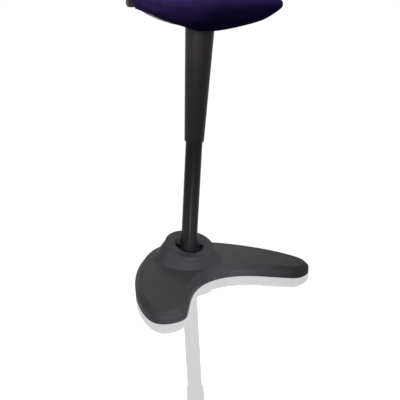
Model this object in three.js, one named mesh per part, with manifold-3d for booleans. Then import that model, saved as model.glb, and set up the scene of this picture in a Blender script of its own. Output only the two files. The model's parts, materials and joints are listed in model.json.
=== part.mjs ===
// Perch stool: an arched floor foot, a rubber-sprung leaning gas column and an upholstered scoop seat.
// Millimetres, +Z up, front towards -Y, origin on the floor under the hub of the foot.

import * as THREE from 'three';
import { mergeVertices } from 'three/addons/utils/BufferGeometryUtils.js';
import Module from 'manifold-3d';

const wasm = await Module();
wasm.setup();

const degree = Math.PI / 180;

// Fits shared by the whole stool
const gap = 0.3;
const overrun = 12;
const weld = 0.0001;
const trim = 0.02;

// Arched foot, seen from above
const footHalfSpan = 294;
const footBackReach = 140;
const footArchReach = 128;
const footWidestReach = 223.5;
const footTipReach = 275;
const footTipWidth = 94.3;
const footTipPoint = 64.5;
const footHeelReach = 261.5;

// Arched foot, seen from the side
const footFloorGap = 1.5;
const footSideHeight = 21;
const footTipHeight = 34.5;
const footBackHeight = 43;
const footBevel = 15;
const footWall = 4.5;
const bossRadius = 8;

// Collar round the column, part of the foot moulding
const collarHeight = 84.6;
const collarTilt = 18.6 * degree;
const collarRadius = 77;
const collarHole = 43.5;
const collarThickness = 9;
const collarEdge = 2.5;
const collarLip = 4;
const collarFootRadius = 109.5;
const collarForward = 4;
const collarWall = 6;

// Steel base plate, its screws and the rubber pads under it
const plateThickness = 5;
const padThickness = 3;
const padRadius = 20;
const hubPadRadius = 30;
const plateScrewRadius = 2;
const plateScrewHead = 4.5;
const plateScrewLength = 16;

// Rubber-sprung hub that carries the column
const pivotHeight = 40;
const columnLean = 4.9 * degree;
const socketBall = 34;
const bushBall = 44;
const ballGap = 0.7;
const socketHalf = 16;
const bushHalf = 17;
const housingHalf = 20;
const housingRadius = 52;
const flangeRadius = 68;
const flangeThickness = 8;
const housingBoltCircle = 60;
const housingBoltRadius = 4;
const housingBoltHead = 8;
const housingBoltLength = 11;

// Gas spring: lengths are measured from the pivot along the column
const tubeRadius = 25;
const tubeWall = 1.5;
const tubeTop = 430;
const tubeFoot = 20;
const tubeTaper = 0.8;
const tubeFloor = 4;
const guideLength = 85;
const guideRim = 2.5;
const bearingRadius = 12;
const bearingHeight = 7;
const rodRadius = 5;
const rodNeckRadius = 3.5;
const rodShoulderRadius = 8;
const rodShoulderHeight = 4;
const clipRadius = 8;
const clipThickness = 1.2;
const clipOpening = 50 * degree;
const rodTail = 2;
const cylinderRadius = 14;
const cylinderWall = 1.8;
const cylinderTail = 12;
const cylinderFoot = tubeTop - guideLength - cylinderTail;
const cylinderNeck = 26;
const cylinderNeckTaper = 1;
const cylinderHead = 10;
const glandLength = 16;
const glandInset = 1;
const pistonLength = 12;
const pistonNutHeight = 4;
const pistonNutRadius = 6;
const pinRadius = 3;
const pinTipRadius = 1.5;
const pinTipHeight = 2;
const pinStand = 14;
const pinLength = 30;

// Tapered cover that slides down over the tube
const coverLap = 49;
const coverRim = tubeTop - coverLap;
const coverRimRadius = 29.1;
const coverTopRadius = 41.3;
const coverWall = 3.2;
const coverLip = 3;
const coverRise = 16;
const wiperHeight = 7;
const wiperWidth = 1.6;
const wiperFit = 0.4;
const coverFloor = 3;

// Seat, measured from the lowest point of its underside along the column
const seatStart = 699;
const seatHalfWidth = 188;
const seatHalfDepth = 168;
const seatForward = 19;
const seatSquareness = 4.5;
const seatRimHeight = 83;
const seatDishHeight = 98;
const seatRearRise = 24;
const seatSideRise = 8;
const seatNoseDrop = 4;
const seatHoleGap = 1.6;
const rollRadius = 15;

// Moulded pan inside the seat
const panInset = 9;
const panWall = 3;
const panTop = 58;
const panSetback = 49;
const panRearReach = seatHalfDepth - seatForward - panSetback;
const panBossRadius = 8;
const panSlotWidth = 30;
const seatBoltSpreadX = 42;
const seatBoltSpreadY = 24;
const seatBoltRadius = 3;
const seatBoltHead = 5.5;
const seatBoltHeadHeight = 4;
const seatBoltLength = 18;

// Steel seat plate with the taper hub
const seatPlateHeight = 34;
const seatPlateThickness = 3;
const seatPlateWidth = 112;
const seatPlateDepth = 70;
const seatPlateCorner = 12;
const hubWall = 4.5;
const earThickness = 3;
const earWidth = 18;

// Release lever
const leverPivotBack = 34;
const leverThickness = 4;
const leverWidth = 14;
const leverBossRadius = 4.5;
const leverPinRadius = 2.5;
const leverPinHead = 4;
const leverGrip = 12;
const leverNose = 5;
const paddleWidth = 74;
const paddleDepth = 24;
const paddleThickness = 7;
const paddleCorner = 8;

// Rear shell with the grab handle, and the light cover under the back of the seat
const shellWrap = 71;
const shellSideReach = seatHalfDepth - seatForward - shellWrap;
const shellBottom = 55;
const shellTop = 88;
const shellWall = 4;
const shellDepth = 24;
const shellEdge = 8;
const gripWidth = 116;
const gripHeight = 18;
const gripLow = 63;
const gripDepth = 46;
const tailDrop = 20;
const seatTuck = 13;
const tailThickness = 3.5;
const tailStart = 14;
const tailFlare = 31 * degree;
const tailTop = 50;

// Facet counts
const roundSegments = 28;
const ballSegments = 36;
const hiddenSegments = 28;
const ballRows = 5;
const armSteps = 13;
const tipSteps = 6;
const seatSegments = 44;
const panSegments = 28;
const smallSegments = 14;

// Finishes
const moulding = finish(0x434345, 0.55, 0);
const coverPlastic = finish(0x2b2a29, 0.45, 0);
const tubePaint = finish(0x2a2928, 0.35, 0.3);
const darkSteel = finish(0x3c3d3f, 0.45, 0.8);
const brightSteel = finish(0xb9bcc0, 0.25, 1);
const rubber = finish(0x1b1b1c, 0.85, 0);
const acetal = finish(0xd9d7cf, 0.5, 0);
const panPlastic = finish(0x2d2d2f, 0.6, 0);
const palePlastic = finish(0xa3a3a6, 0.55, 0);
const shellPlastic = finish(0x33312d, 0.5, 0);
const violetFabric = finish(0x281c42, 0.9, 0);

function finish(color, roughness, metalness) {
  return new THREE.MeshStandardMaterial({ color, roughness, metalness });
}

// Closed solids

function solid(geometry) {
  const bare = geometry.clone();
  bare.deleteAttribute('normal');
  bare.deleteAttribute('uv');
  const merged = mergeVertices(bare, weld);
  const place = merged.attributes.position.array;
  const corners = merged.index.array;
  const faces = [];
  let volume = 0;
  for (let i = 0; i < corners.length; i += 3) {
    const [a, b, c] = [corners[i], corners[i + 1], corners[i + 2]];
    if (a === b || b === c || c === a) continue;
    faces.push(a, b, c);
    const [p, q, r] = [a, b, c].map((corner) => new THREE.Vector3().fromArray(place, corner * 3));
    volume += p.dot(q.cross(r));
  }
  if (volume < 0) faces.reverse();
  const mesh = new wasm.Mesh({ numProp: 3, vertProperties: place, triVerts: new Uint32Array(faces) });
  return new wasm.Manifold(mesh);
}

function geometryOf(body) {
  const mesh = body.simplify(trim).getMesh();
  const geometry = new THREE.BufferGeometry();
  geometry.setAttribute('position', new THREE.BufferAttribute(new Float32Array(mesh.vertProperties), 3));
  geometry.setIndex(new THREE.BufferAttribute(new Uint32Array(mesh.triVerts), 1));
  geometry.computeVertexNormals();
  return geometry;
}

// Rows of points, each row a closed loop, joined into a skin; the first and last rows close on themselves
function skin(rows) {
  const places = rows.flat().flatMap((point) => [point.x, point.y, point.z]);
  const count = rows[0].length;
  const faces = [];
  for (let i = 0; i + 1 < rows.length; i += 1) {
    for (let j = 0; j < count; j += 1) {
      const next = (j + 1) % count;
      const [a, b] = [i * count + j, i * count + next];
      const [c, d] = [a + count, b + count];
      faces.push(a, b, d, a, d, c);
    }
  }
  const geometry = new THREE.BufferGeometry();
  geometry.setAttribute('position', new THREE.Float32BufferAttribute(places, 3));
  geometry.setIndex(faces);
  return solid(geometry);
}

// A profile of [radius, height] corners turned round the Z axis
function revolve(profile, segments = roundSegments) {
  const points = [...profile, profile[0]].map(([radius, height]) => new THREE.Vector2(radius, height));
  return solid(new THREE.LatheGeometry(points, segments).rotateX(Math.PI / 2));
}

function rod(radius, low, high, segments = roundSegments) {
  return revolve([[0, low], [radius, low], [radius, high], [0, high]], segments);
}

function ring(inner, outer, low, high, segments = roundSegments) {
  return revolve([[inner, low], [outer, low], [outer, high], [inner, high]], segments);
}

function block(x, y, z) {
  const centre = [x, y, z].map(([low, high]) => (low + high) / 2);
  const size = [x, y, z].map(([low, high]) => high - low);
  return solid(new THREE.BoxGeometry(...size).translate(...centre));
}

function slab(points, low, high) {
  const depth = high - low;
  const extruded = new THREE.ExtrudeGeometry(new THREE.Shape(points), { depth, bevelEnabled: false });
  return solid(extruded.translate(0, 0, low));
}

function roundedRectangle(width, depth, corner) {
  const [x, y] = [width / 2 - corner, depth / 2 - corner];
  const path = new THREE.Path();
  path.absarc(x, y, corner, 0, Math.PI / 2);
  path.absarc(-x, y, corner, Math.PI / 2, Math.PI);
  path.absarc(-x, -y, corner, Math.PI, Math.PI * 1.5);
  path.absarc(x, -y, corner, Math.PI * 1.5, Math.PI * 2);
  return path.getPoints(4);
}

function smooth(value, low, high) {
  return THREE.MathUtils.smoothstep(value, low, high);
}

function moved(body, x, y, z) {
  return body.translate([x, y, z]);
}

function mesh(name, body, material) {
  const made = new THREE.Mesh(geometryOf(body), material);
  made.name = name;
  return made;
}

// Arched foot

const hubPivot = new THREE.Vector3(0, 0, pivotHeight);
const columnDrift = (collarHeight - pivotHeight) * Math.tan(columnLean);
const collarCentre = new THREE.Vector3(0, -columnDrift - collarForward, collarHeight);
const plateLow = padThickness;
const plateHigh = plateLow + plateThickness;

// Handles of the outline's curves, as shares of the half span
const backHandleShare = 0.499;
const widestHandleShare = 0.342;
const archHandleShare = 0.328;
const heelHandleShare = [0.179, 0.169];
const tipHandleShare = 0.119;
const innerTipShare = [0.028, 0.028];

function rightSide() {
  const point = (x, y) => new THREE.Vector2(x, y);
  const span = footHalfSpan;
  const widest = point(span, -footWidestReach);
  const tip = point(span - footTipPoint, -footTipReach);
  const heel = point(span - footTipWidth, -footHeelReach);
  const back = new THREE.CubicBezierCurve(
    point(0, footBackReach), point(span * backHandleShare, footBackReach),
    point(span, widest.y + span * widestHandleShare), widest);
  const outerTip = new THREE.CubicBezierCurve(
    widest, point(span, widest.y - span * tipHandleShare),
    point(tip.x + span * tipHandleShare, tip.y), tip);
  const arch = new THREE.CubicBezierCurve(
    point(0, -footArchReach), point(span * archHandleShare, -footArchReach),
    point(heel.x - span * heelHandleShare[0], heel.y + span * heelHandleShare[1]), heel);
  const innerTip = new THREE.CubicBezierCurve(
    heel, point(heel.x + span * innerTipShare[1], heel.y - span * innerTipShare[1]),
    point(tip.x - span * innerTipShare[0], tip.y), tip);
  const along = (first, second) => [...first.getPoints(armSteps), ...second.getPoints(tipSteps).slice(1)];
  return { outer: along(back, outerTip), inner: along(arch, innerTip) };
}

// The outline's outer and inner sides run from the left tip to the right tip, drawn in by an inset
function footSides(inset) {
  const right = rightSide();
  const whole = (side) => [...side.slice(1).reverse().map((p) => new THREE.Vector2(-p.x, p.y)), ...side];
  const [outer, inner] = [whole(right.outer), whole(right.inner)];
  const loop = [...outer, ...inner.slice(1, -1).reverse()];
  const drawnIn = loop.map((point, index) => {
    const before = loop[(index + loop.length - 1) % loop.length];
    const after = loop[(index + 1) % loop.length];
    const along = after.clone().sub(before).normalize();
    return new THREE.Vector2(point.x + along.y * inset, point.y - along.x * inset);
  });
  const last = outer.length - 1;
  const innerPart = [drawnIn[0], ...drawnIn.slice(last + 1).reverse(), drawnIn[last]];
  return { outer: drawnIn.slice(0, last + 1), inner: innerPart, loop: drawnIn };
}

// The foot's flat top rises evenly from the tips to the back
function footHeight(y) {
  const share = (y + footTipReach) / (footBackReach + footTipReach);
  return THREE.MathUtils.lerp(footTipHeight, footBackHeight, share);
}

// One body of the foot's form: drawn in all round, its top lowered, standing on a given level
function footBody(inset, drop, low) {
  const side = footSides(inset);
  const top = footSides(inset + footBevel);
  const rows = side.outer.map((_, i) => {
    const at = (p, z) => new THREE.Vector3(p.x, p.y, z);
    const crown = [top.outer[i], top.inner[i]].map((p) => at(p, footHeight(p.y) - drop));
    return [
      at(side.outer[i], low), at(side.outer[i], footSideHeight - drop),
      ...crown,
      at(side.inner[i], footSideHeight - drop), at(side.inner[i], low),
    ];
  });
  return skin(rows);
}

function circleRow(centre, radius, tilt, count) {
  return Array.from({ length: count }, (_, i) => {
    const angle = (i / count) * Math.PI * 2;
    const across = new THREE.Vector3(Math.cos(angle) * radius, Math.sin(angle) * radius, 0);
    return across.applyAxisAngle(new THREE.Vector3(1, 0, 0), tilt).add(centre);
  });
}

// The collar's axis leans forward more than the column does
const collarAxis = new THREE.Vector3(0, -Math.sin(collarTilt), Math.cos(collarTilt));

function alongCollar(distance) {
  return collarCentre.clone().addScaledVector(collarAxis, distance);
}

// Skirt of the collar; a wall thickness taken off gives the space inside it
function collarBody(wall) {
  const count = ballSegments;
  const low = wall > 0 ? -overrun : footSideHeight;
  const seat = new THREE.Vector3(0, 0, low);
  const footRow = circleRow(seat, collarFootRadius - wall, 0, count);
  footRow.forEach((point) => point.setZ(footHeight(point.y)));
  const face = alongCollar(-wall);
  const edge = wall > 0 ? 0 : collarEdge;
  return skin([
    circleRow(seat, 0, 0, count),
    circleRow(seat, collarFootRadius - wall, 0, count),
    footRow,
    circleRow(alongCollar(-wall - edge), collarRadius - wall, collarTilt, count),
    circleRow(face, collarRadius - wall - edge, collarTilt, count),
    circleRow(face, 0, collarTilt, count),
  ]);
}

function collarBore() {
  const deep = collarThickness + overrun * 2;
  const profile = [
    [0, -deep], [collarHole - collarLip, -deep], [collarHole - collarLip, -collarLip - collarEdge],
    [collarHole - collarEdge, -collarEdge], [collarHole + collarEdge, collarEdge], [0, collarEdge],
  ];
  const turned = revolve(profile, ballSegments).rotate([collarTilt / degree, 0, 0]);
  return moved(turned, collarCentre.x, collarCentre.y, collarCentre.z);
}

// Places under the foot, as shares of its reach along the arms
const padPlaceShares = [[-0.84, -0.8], [0.84, -0.8], [-0.52, -0.2], [0.52, -0.2], [0, 0.68]];
const plateScrewShares = [
  [-0.76, -0.62], [0.76, -0.62], [-0.37, -0.4], [0.37, -0.4], [-0.34, 0.5], [0.34, 0.5],
];

function footPlace([shareX, shareY]) {
  const reach = shareY < 0 ? footTipReach : footBackReach;
  return [footHalfSpan * shareX, reach * shareY];
}

function baseShell() {
  const outside = footBody(0, 0, footFloorGap).add(collarBody(0));
  const inside = footBody(footWall, footWall, -overrun).add(collarBody(collarWall));
  let shell = outside.subtract(inside);
  for (const share of plateScrewShares) {
    const [x, y] = footPlace(share);
    const bossTop = footHeight(y) - footWall / 2;
    const boss = rod(bossRadius, plateHigh + gap, bossTop, smallSegments);
    const hole = rod(plateScrewRadius + gap, plateHigh - overrun, plateLow + plateScrewLength + gap,
      smallSegments);
    shell = shell.add(moved(boss, x, y, 0)).subtract(moved(hole, x, y, 0));
  }
  return shell.subtract(collarBore());
}

function countersunk(radius, head, length) {
  const cone = head - radius;
  return [[0, 0], [head, 0], [radius, cone], [radius, length], [0, length]];
}

function housingBoltPlace(index) {
  const angle = (index + 0.5) * (Math.PI / 2);
  return [Math.cos(angle) * housingBoltCircle, Math.sin(angle) * housingBoltCircle];
}

function basePlate() {
  let plate = slab(footSides(footWall + gap).loop, plateLow, plateHigh);
  const hole = (radius, head, length) => {
    return revolve(countersunk(radius + gap, head + gap, length), smallSegments);
  };
  const screwHole = hole(plateScrewRadius, plateScrewHead, plateScrewLength);
  const boltHole = hole(housingBoltRadius, housingBoltHead, housingBoltLength);
  for (const share of plateScrewShares) {
    plate = plate.subtract(moved(screwHole, ...footPlace(share), plateLow));
  }
  for (let index = 0; index < 4; index += 1) {
    plate = plate.subtract(moved(boltHole, ...housingBoltPlace(index), plateLow));
  }
  return plate;
}

function footPads() {
  const pad = (radius) => {
    const edge = radius - padThickness / 2;
    return revolve([[0, 0], [edge, 0], [radius, padThickness - gap], [0, padThickness - gap]]);
  };
  const names = [
    'foot_pad_left_tip', 'foot_pad_right_tip', 'foot_pad_left_arm', 'foot_pad_right_arm', 'foot_pad_back',
  ];
  const outer = names.map((name, index) => {
    const [x, y] = footPlace(padPlaceShares[index]);
    return mesh(name, moved(pad(padRadius), x, y, 0), rubber);
  });
  return [mesh('foot_pad_hub', pad(hubPadRadius), rubber), ...outer];
}

function plateScrews() {
  return plateScrewShares.map((share, index) => {
    const screw = revolve(countersunk(plateScrewRadius, plateScrewHead, plateScrewLength), smallSegments);
    return mesh(`plate_screw_${index + 1}`, moved(screw, ...footPlace(share), plateLow), darkSteel);
  });
}

// Rubber-sprung hub: housing, bush and socket share one ball centre, the pivot

// Heights and radii down a band of a ball
function ballBand(radius, half, rows = ballRows) {
  return Array.from({ length: rows + 1 }, (_, i) => {
    const height = half - (2 * half * i) / rows;
    return [Math.sqrt(radius * radius - height * height), height];
  });
}

function bushHousing() {
  const low = plateHigh + gap - pivotHeight;
  const bore = ballBand(bushBall + ballGap, housingHalf);
  const profile = [
    ...bore, [bore.at(-1)[0], low], [flangeRadius, low], [flangeRadius, low + flangeThickness],
    [housingRadius, low + flangeThickness], [housingRadius, housingHalf],
  ];
  let housing = moved(revolve(profile, hiddenSegments), ...hubPivot);
  for (let index = 0; index < 4; index += 1) {
    const high = plateLow + housingBoltLength + gap;
    const hole = rod(housingBoltRadius + gap, 0, high, smallSegments);
    housing = housing.subtract(moved(hole, ...housingBoltPlace(index), 0));
  }
  return housing;
}

function housingBolts() {
  return [0, 1, 2, 3].map((index) => {
    const bolt = revolve(countersunk(housingBoltRadius, housingBoltHead, housingBoltLength), smallSegments);
    return mesh(`housing_bolt_${index + 1}`, moved(bolt, ...housingBoltPlace(index), plateLow), darkSteel);
  });
}

function rubberBush() {
  const inside = ballBand(socketBall + ballGap, bushHalf);
  const outside = ballBand(bushBall, bushHalf).reverse();
  return revolve([...inside, ...outside], hiddenSegments);
}

// Outside radius of the tube's drawn-in foot at a height from the pivot
function tubeFootRadius(height) {
  const down = (socketHalf - height) / (socketHalf + tubeFoot);
  return tubeRadius - tubeTaper * THREE.MathUtils.clamp(down, 0, 1);
}

function taperSocket() {
  const outside = ballBand(socketBall, socketHalf).reverse();
  const inside = [
    [tubeFootRadius(socketHalf) + gap, socketHalf], [tubeFootRadius(-socketHalf) + gap, -socketHalf],
  ];
  return revolve([...outside, ...inside], hiddenSegments);
}

// Gas spring

const bearingLow = tubeFloor - tubeFoot + gap;
const shoulderLow = bearingLow + bearingHeight + gap;
const clipHigh = -tubeFoot - gap;
const clipLow = clipHigh - clipThickness;
const guideFoot = tubeTop - guideLength;
const glandLow = cylinderFoot + glandInset;
const pistonLow = glandLow + glandLength + gap;
const pistonHigh = pistonLow + pistonLength;
const boreRadius = cylinderRadius - cylinderWall;
const cylinderShoulder = seatStart;
const cylinderTop = cylinderShoulder + cylinderNeck;
const neckRadius = cylinderRadius - cylinderNeckTaper;
const pinTop = cylinderTop + pinStand;

function outerTube() {
  const inner = tubeRadius - tubeWall;
  const rounding = tubeWall / 2;
  return revolve([
    [rodNeckRadius + gap, -tubeFoot], [tubeFootRadius(-tubeFoot), -tubeFoot],
    [tubeFootRadius(socketHalf), socketHalf], [tubeRadius, tubeTop - rounding],
    [tubeRadius - rounding, tubeTop], [inner, tubeTop], [inner, tubeFloor - tubeFoot + tubeTaper],
    [inner - tubeTaper, tubeFloor - tubeFoot], [rodNeckRadius + gap, tubeFloor - tubeFoot],
  ], ballSegments);
}

function guideBush() {
  const outer = tubeRadius - tubeWall - gap;
  const inner = cylinderRadius + gap;
  const rimLow = tubeTop + gap;
  return revolve([
    [inner, guideFoot], [outer, guideFoot], [outer, rimLow], [tubeRadius, rimLow],
    [tubeRadius, rimLow + guideRim / 2], [outer, rimLow + guideRim], [inner, rimLow + guideRim],
  ]);
}

function thrustBearing() {
  return ring(rodNeckRadius + gap, bearingRadius, bearingLow, bearingLow + bearingHeight);
}

function pistonRod() {
  const groove = rodNeckRadius - clipThickness / 2;
  const shoulderHigh = shoulderLow + rodShoulderHeight;
  return revolve([
    [0, clipLow - rodTail], [rodNeckRadius, clipLow - rodTail], [rodNeckRadius, clipLow - gap / 2],
    [groove, clipLow - gap / 2], [groove, clipHigh + gap / 2], [rodNeckRadius, clipHigh + gap / 2],
    [rodNeckRadius, shoulderLow], [rodShoulderRadius, shoulderLow], [rodShoulderRadius, shoulderHigh],
    [rodRadius, shoulderHigh], [rodRadius, pistonLow - gap], [rodNeckRadius, pistonLow - gap],
    [rodNeckRadius, pistonHigh + pistonNutHeight + rodTail], [0, pistonHigh + pistonNutHeight + rodTail],
  ]);
}

// A snap ring with its mouth towards the front
function rodClip() {
  const shape = new THREE.Shape();
  const [start, end] = [clipOpening / 2, Math.PI * 2 - clipOpening / 2];
  const inner = rodNeckRadius - clipThickness / 2 + gap;
  shape.absarc(0, 0, clipRadius, start, end, false);
  shape.absarc(0, 0, inner, end, start, true);
  const settings = { depth: clipThickness, bevelEnabled: false, curveSegments: 20 };
  const flat = new THREE.ExtrudeGeometry(shape, settings);
  return solid(flat.rotateZ(-Math.PI / 2).translate(0, 0, clipLow));
}

function piston() {
  const outer = boreRadius - gap;
  const middle = (pistonLow + pistonHigh) / 2;
  const groove = pistonLength / 6;
  return revolve([
    [rodNeckRadius + gap, pistonLow], [outer, pistonLow], [outer, middle - groove],
    [outer - groove, middle - groove], [outer - groove, middle + groove], [outer, middle + groove],
    [outer, pistonHigh], [rodNeckRadius + gap, pistonHigh],
  ]);
}

function pistonNut() {
  const [low, high] = [pistonHigh + gap, pistonHigh + pistonNutHeight];
  const bore = rod(rodNeckRadius + gap, low - gap, high + gap, smallSegments);
  return rod(pistonNutRadius, low, high, 6).subtract(bore);
}

function pressureCylinder() {
  const headLow = cylinderTop - cylinderHead;
  const pinHole = pinRadius + gap;
  return revolve([
    [boreRadius, cylinderFoot], [cylinderRadius, cylinderFoot], [cylinderRadius, cylinderShoulder],
    [neckRadius, cylinderTop], [pinHole, cylinderTop], [pinHole, headLow],
    [boreRadius - cylinderNeckTaper, headLow], [boreRadius, cylinderShoulder],
  ]);
}

function rodGland() {
  return ring(rodRadius + gap, boreRadius - gap, glandLow, glandLow + glandLength);
}

function releasePin() {
  return revolve([
    [0, pinTop - pinLength], [pinRadius, pinTop - pinLength], [pinRadius, pinTop - pinTipHeight],
    [pinTipRadius, pinTop], [0, pinTop],
  ], smallSegments);
}

// Tapered cover

const coverTop = seatStart + coverRise;

function coverRadius(height) {
  const share = (height - coverRim) / (coverTop - coverRim);
  return THREE.MathUtils.lerp(coverRimRadius, coverTopRadius, share);
}

const wiperLow = coverRim + coverLip;
const wiperHigh = wiperLow + wiperHeight;
const coverBore = tubeRadius + wiperFit + wiperWidth + gap;
const coverFloorHigh = seatStart - gap;
const coverFloorLow = coverFloorHigh - coverFloor;

function taperedCover() {
  const lipBore = tubeRadius + wiperFit + gap;
  const inside = (height) => coverRadius(height) - coverWall;
  const chamfer = coverLip / 2;
  return revolve([
    [lipBore, coverRim], [coverRimRadius - chamfer, coverRim], [coverRadius(wiperLow), wiperLow],
    [coverTopRadius, coverTop], [inside(coverTop), coverTop], [inside(coverFloorHigh), coverFloorHigh],
    [cylinderRadius + gap, coverFloorHigh], [cylinderRadius + gap, coverFloorLow],
    [inside(coverFloorLow), coverFloorLow], [coverBore, wiperHigh + wiperHeight],
    [coverBore, wiperLow - gap], [lipBore, wiperLow - gap],
  ], ballSegments);
}

function wiperRing() {
  return ring(tubeRadius + wiperFit, tubeRadius + wiperFit + wiperWidth, wiperLow, wiperHigh);
}

// Seat form: a scoop with a conical underside, a rolled rim and a dished top

// Rows of the form, as shares of the way from the middle to the rim, above and below it
const upperShares = [0.995, 0.98, 0.955, 0.91, 0.8, 0.6, 0.4, 0.2];
const underShares = [0.17, 0.34, 0.51, 0.68, 0.81, 0.9, 0.955, 0.988];

// The underside is a cone that turns up into the rim; it is tucked up at the back above the pale cover
const coneShare = 0.75;
const conePower = 1.4;
const turnPower = 10;
const tuckSpanShares = [0.2, 0.92];
const rearTurnShares = [0.05, 0.55];

function seatEdge(angle, inset) {
  const power = 2 / seatSquareness;
  const [c, s] = [Math.cos(angle), Math.sin(angle)];
  const x = Math.sign(c) * Math.abs(c) ** power * (seatHalfWidth - inset);
  const y = Math.sign(s) * Math.abs(s) ** power * (seatHalfDepth - inset);
  return new THREE.Vector2(x, y);
}

// Height of the sitting surface: dished, raised at the back and the sides, lowered at the nose
function sittingHeight(x, y) {
  const rear = smooth(y, 0, seatHalfDepth) * seatRearRise;
  const side = (x / seatHalfWidth) ** 2 * seatSideRise;
  const nose = smooth(-y, seatHalfDepth / 2, seatHalfDepth) * seatNoseDrop;
  return seatDishHeight + rear + side - nose;
}

// Height of the underside at a share of the way out to the rim, on a bearing whose sine is rearward
function hullHeight(share, rearward, drop) {
  const cone = coneShare * share ** conePower;
  const turn = (1 - coneShare) * (1 - Math.sqrt(1 - share ** turnPower));
  const span = tuckSpanShares[1] - tuckSpanShares[0];
  const bump = Math.sin(Math.PI * THREE.MathUtils.clamp((share - tuckSpanShares[0]) / span, 0, 1));
  const tuck = seatTuck * smooth(rearward, ...rearTurnShares);
  return seatRimHeight * (cone + turn) + (tuck - drop) * bump;
}

// The seat's form drawn in by an inset; drop lets the underside hang lower between middle and rim
function seatForm(inset, drop = 0, segments = seatSegments) {
  const row = (share, heightAt) => Array.from({ length: segments }, (_, i) => {
    const angle = (i / segments) * Math.PI * 2;
    const edge = seatEdge(angle, inset).multiplyScalar(share);
    return new THREE.Vector3(edge.x, edge.y, heightAt(edge, share, Math.sin(angle)));
  });
  const under = (_, share, rearward) => {
    return inset + hullHeight(share, rearward, drop) * (1 - inset / seatRimHeight);
  };
  const over = (edge, share) => {
    const run = (1 - share) * Math.min(seatHalfWidth, seatHalfDepth);
    const roll = Math.sqrt(1 - (1 - Math.min(1, run / rollRadius)) ** 2);
    return seatRimHeight + Math.max(0, sittingHeight(edge.x, edge.y) - inset - seatRimHeight) * roll;
  };
  const rim = () => seatRimHeight;
  const rows = [
    row(0, under), ...underShares.map((share) => row(share, under)), row(1, rim),
    ...upperShares.map((share) => row(share, over)), row(0, over),
  ];
  return moved(skin(rows), 0, -seatForward, 0);
}

// The rear shell's own form: upright behind the rim with a rounded lower edge
function shellForm(inset) {
  const low = shellBottom - shellEdge / 2;
  const ring = (drawnIn, height) => Array.from({ length: seatSegments }, (_, i) => {
    const edge = seatEdge((i / seatSegments) * Math.PI * 2, inset + drawnIn);
    return new THREE.Vector3(edge.x, edge.y, height);
  });
  const middle = ring(0, 0).map(() => new THREE.Vector3(0, 0, low));
  const high = shellTop + shellEdge;
  const upper = ring(0, 0).map(() => new THREE.Vector3(0, 0, high));
  const rows = [
    middle, ring(shellEdge, low), ring(shellEdge / 2, low + shellEdge / 4),
    ring(shellEdge / 8, low + shellEdge), ring(0, low + shellEdge * 2), ring(0, high), upper,
  ];
  return moved(skin(rows), 0, -seatForward, 0);
}

const wide = seatHalfWidth * 2;
const seatHoleRadius = coverTopRadius + seatHoleGap;

// Everything behind a level: the room of the rear shell
function rearRoom(reach, low, high, margin) {
  return block([-wide, wide], [reach - margin, wide], [low - margin, high + margin]);
}

// Wedge of the underside that the pale tail cover fills
function tailWedge(margin, top) {
  const start = tailStart - margin / Math.cos(tailFlare);
  const rear = panRearReach + margin;
  const half = (rear - start) / Math.tan(tailFlare);
  const corners = [[0, start], [half, rear], [-half, rear]].map(([x, y]) => new THREE.Vector2(x, y));
  return slab(corners, -seatRimHeight, top + margin);
}

function gripRoom(margin) {
  const [low, high] = [gripLow - margin, gripLow + gripHeight + margin];
  const rear = seatHalfDepth - seatForward + overrun;
  const half = gripWidth / 2 + margin;
  return block([-half, half], [rear - gripDepth - overrun, rear], [low, high]);
}

function leverRoom() {
  const half = panSlotWidth / 2;
  return block([-half, half], [leverPivotBack, wide], [seatPlateHeight, panTop - panWall]);
}

function seatPan() {
  const below = (high) => block([-wide, wide], [-wide, panRearReach], [-wide, high]);
  const outside = seatForm(panInset, 0, panSegments).intersect(below(panTop));
  const insideBlock = block([-wide, wide], [-wide, panRearReach - panWall], [-wide, panTop - panWall]);
  const inside = seatForm(panInset + panWall, 0, panSegments).intersect(insideBlock);
  let pan = outside.subtract(inside).subtract(rod(seatHoleRadius, -wide, seatPlateHeight, ballSegments));
  pan = pan.subtract(leverRoom());
  for (const [x, y] of seatBoltPlaces()) {
    const bossLow = seatPlateHeight + seatPlateThickness + gap;
    const boss = rod(panBossRadius, bossLow, panTop - panWall / 2, smallSegments);
    const hole = rod(seatBoltRadius + gap, 0, seatPlateHeight + seatBoltLength, smallSegments);
    pan = pan.add(moved(boss, x, y, 0)).subtract(moved(hole, x, y, 0));
  }
  return pan;
}

function seatBoltPlaces() {
  const [x, y] = [seatBoltSpreadX, seatBoltSpreadY];
  return [[-x, -y], [x, -y], [-x, y], [x, y]];
}

function panRoom() {
  const space = block([-wide, wide], [-wide, panRearReach + gap], [-wide, panTop + gap]);
  return seatForm(panInset - gap, 0, panSegments).intersect(space);
}

function seatCushion() {
  return seatForm(0)
    .subtract(panRoom())
    .subtract(rod(seatHoleRadius, -wide, panTop, ballSegments))
    .subtract(tailWedge(gap, panTop))
    .subtract(rearRoom(panRearReach, -wide, shellBottom, gap))
    .subtract(shellRoom(gap));
}

// Room of the rear shell: behind its side reach, as deep as the bumper and as high as its band
function shellRoom(margin) {
  const band = rearRoom(shellSideReach, shellBottom, shellTop, margin);
  return band.subtract(seatForm(shellDepth + margin)).add(gripRoom(margin).intersect(band));
}

function rearShell() {
  const band = shellForm(0).intersect(rearRoom(shellSideReach, shellBottom, shellTop, 0));
  const bumper = band.subtract(seatForm(shellDepth)).subtract(panRoom());
  const hollow = rearRoom(panRearReach + shellWall, shellBottom + shellWall, shellTop - shellWall, -gap);
  const cavity = shellForm(shellWall).intersect(hollow).subtract(gripRoom(shellWall));
  return bumper.subtract(cavity).subtract(gripRoom(0));
}

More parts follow.
